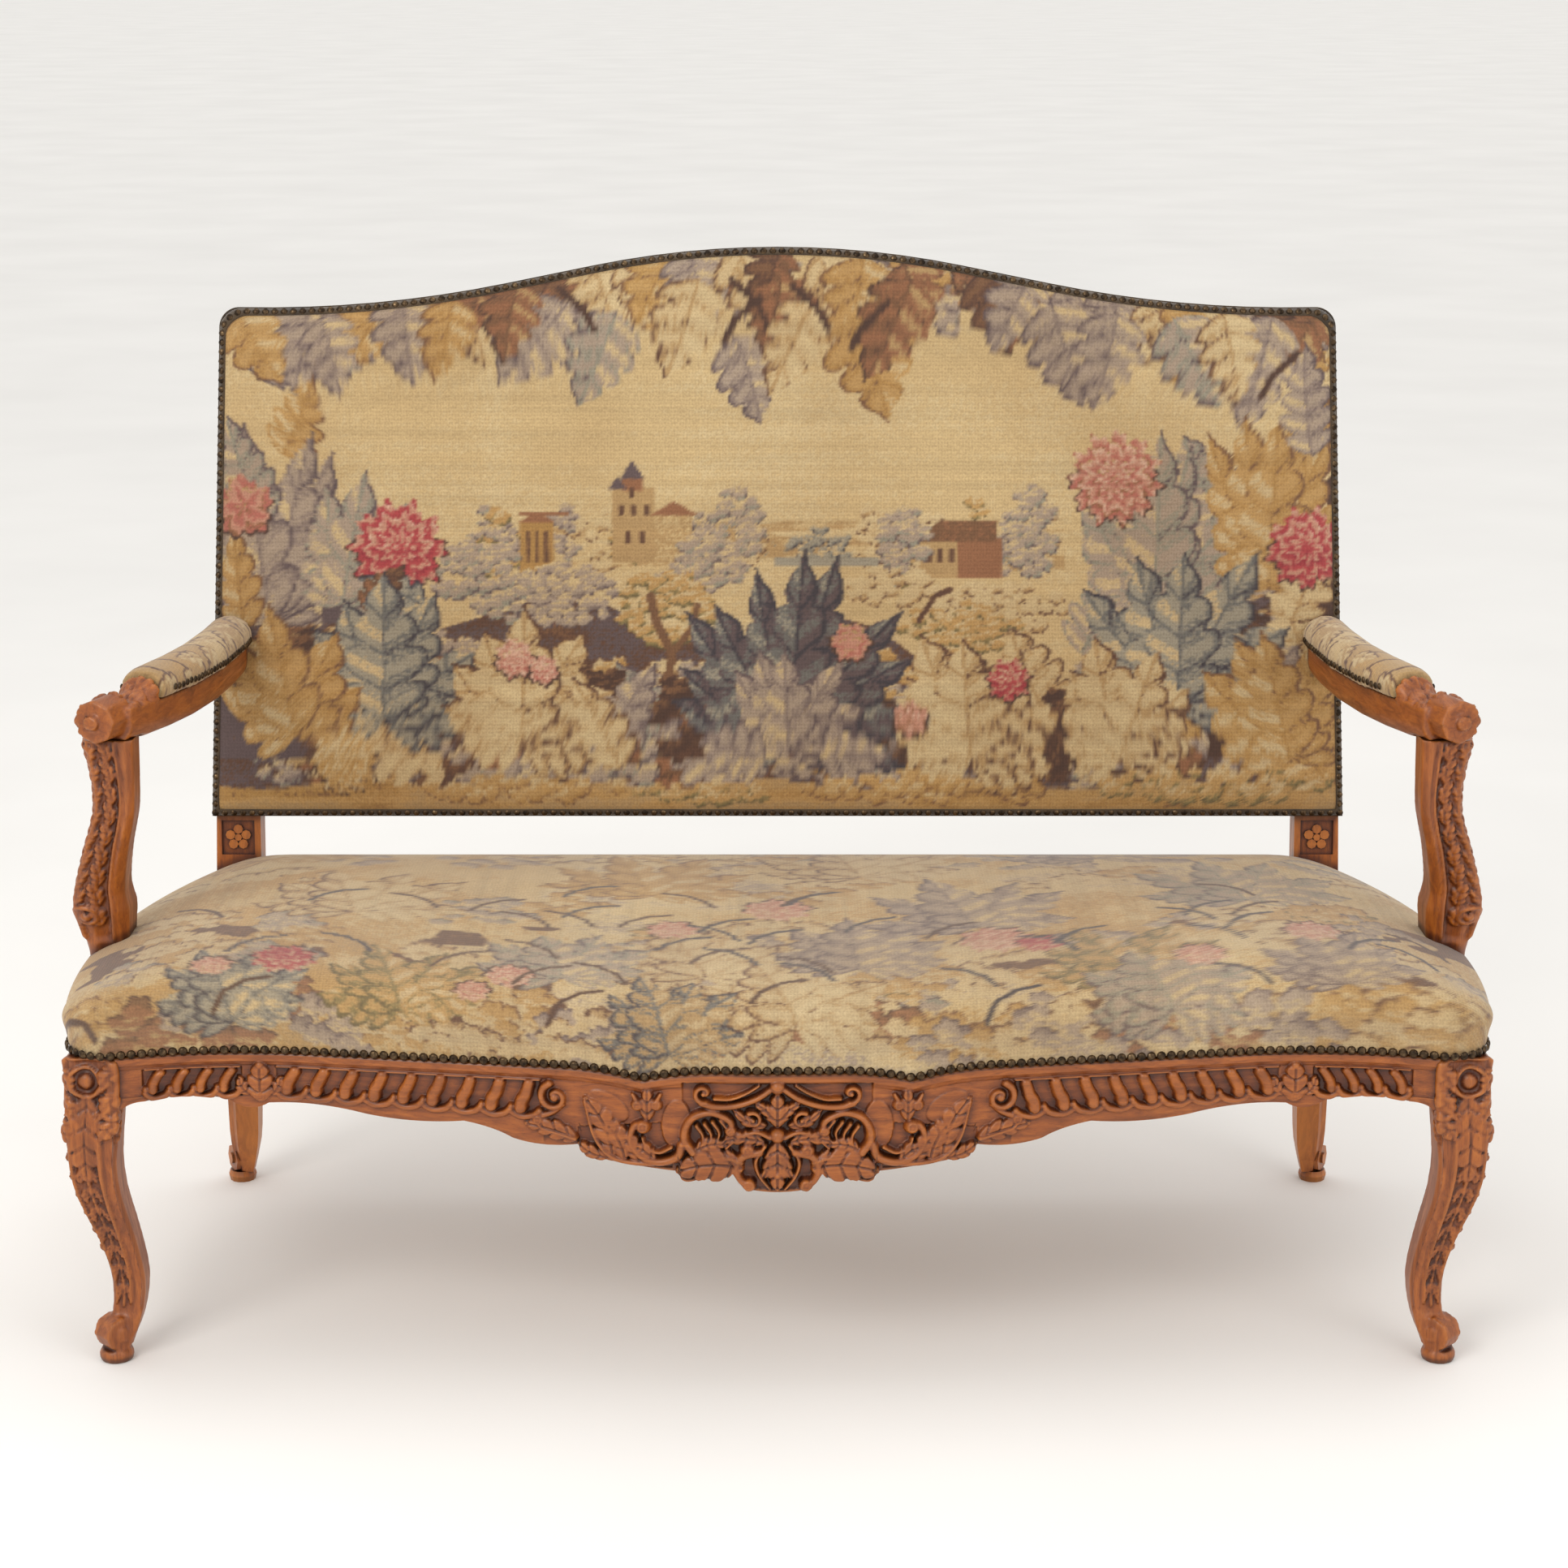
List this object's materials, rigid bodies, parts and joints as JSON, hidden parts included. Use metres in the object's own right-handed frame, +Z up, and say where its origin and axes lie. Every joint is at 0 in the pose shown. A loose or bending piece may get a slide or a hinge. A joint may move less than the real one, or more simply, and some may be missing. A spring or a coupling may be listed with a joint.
{
  "type": "camelback sofa",
  "caption": "Camelback settee with a carved walnut frame, cabriole legs, padded open arms and a tapestry cover edged with brass nails.",
  "frame": {"origin": "middle of the settee's outline on the floor, under the four feet", "axes": "+X to the sitter's left along the front rail, +Y towards the back, +Z up"},
  "size_m": [1.646, 0.7596, 1.2209],
  "materials": {
    "walnut": "waxed, lightly worn",
    "frame_wood": "plain sawn, unpolished",
    "tapestry": "woven wool tapestry, matte",
    "outside_cloth": "plain linen, matte",
    "braid": "dark woven gimp",
    "stuffing": "fibre, matte",
    "hessian": "open jute weave",
    "webbing": "jute, matte"
  },
  "bodies": {
    "root": {"arm_left": "walnut", "arm_right": "walnut", "arm_pad_left": "tapestry", "arm_pad_right": "tapestry", "arm_support_left": "walnut", "arm_support_right": "walnut", "back_braid": "braid", "back_cover": "tapestry", "back_lower_rail": "frame_wood", "back_rail": "frame_wood", "back_stuffing": "stuffing", "back_upright": "frame_wood", "crest_rail": "frame_wood", "front_leg_left": "walnut", "front_leg_right": "walnut", "front_rail": "walnut", "glue_block_front_left": "frame_wood", "glue_block_front_right": "frame_wood", "glue_block_rear_left": "frame_wood", "glue_block_rear_right": "frame_wood", "joint_pegs": "frame_wood", "outside_back_cover": "outside_cloth", "rear_leg_left": "walnut", "rear_leg_right": "walnut", "seat_brace_left": "frame_wood", "seat_brace_right": "frame_wood", "seat_cover": "tapestry", "seat_hessian": "hessian", "seat_stuffing": "stuffing", "seat_webbing_crosswise": "webbing", "seat_webbing_lengthwise": "webbing", "side_rail_left": "walnut", "side_rail_right": "walnut"}
  },
  "joints": []
}
